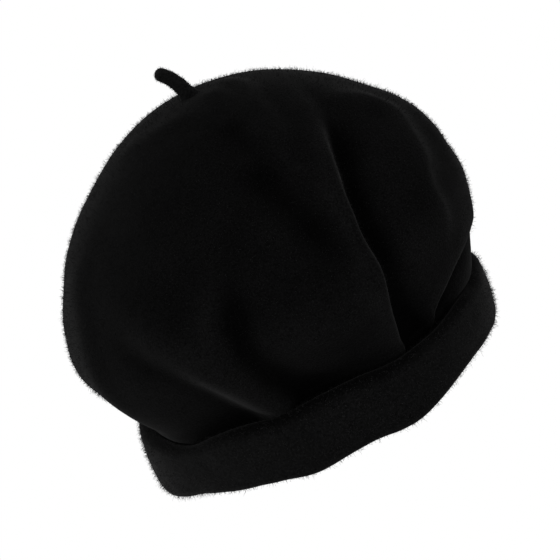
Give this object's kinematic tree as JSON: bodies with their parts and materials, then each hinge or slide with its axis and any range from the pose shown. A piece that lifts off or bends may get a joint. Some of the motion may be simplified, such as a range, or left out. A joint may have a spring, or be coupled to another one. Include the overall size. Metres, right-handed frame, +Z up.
{
  "type": "beret",
  "caption": "Soft felt beret with a domed, folded crown, a rolled felt cuff round the head opening, a short bendable stalk on top and a ribbon sweatband inside.",
  "frame": {"origin": "centre of the head opening, level with the sweatband's lower edge", "axes": "+Z up through the crown towards the stalk, -Y the front of the hat, +Y the back where the sweatband's ends meet, -X the side that the stalk leans to"},
  "size_m": [0.241, 0.2404, 0.2127],
  "materials": {
    "crown_felt": "matt black fulled wool felt with a short soft nap",
    "cuff_felt": "matt black fulled wool felt, a little grainier than the crown",
    "grosgrain_ribbon": "black cross-ribbed ribbon with a slight sheen",
    "bow_ribbon": "narrow black satin ribbon",
    "label_satin": "off-white woven satin tape, left blank",
    "thread": "black twisted polyester sewing thread"
  },
  "bodies": {
    "hat": {"crown": "crown_felt", "cuff": "cuff_felt", "cuff_seam_stitches": "thread", "cuff_tack_stitches": "thread", "stalk_stitches": "thread", "sweatband": "grosgrain_ribbon", "sweatband_stitches": "thread", "sweatband_join_stitches": "thread", "bow_loops": "bow_ribbon", "bow_knot": "bow_ribbon", "size_tab": "label_satin", "size_tab_stitches": "thread", "care_label_stitches": "thread"},
    "stalk": {"stalk": "crown_felt"},
    "care_label": {"care_label": "label_satin"}
  },
  "joints": [
    {"name": "stalk_bend", "type": "hinge", "parent": "hat", "child": "stalk", "pos_m": [0, 0, 0.19], "axis": [0, 1, 0], "range_deg": [-20, 45], "stiffness_Nm_per_rad": 0.002},
    {"name": "care_label_flip", "type": "hinge", "parent": "hat", "child": "care_label", "pos_m": [0, 0.11142, 0.064], "axis": [-1, 0, 0], "range_deg": [0, 110]}
  ]
}
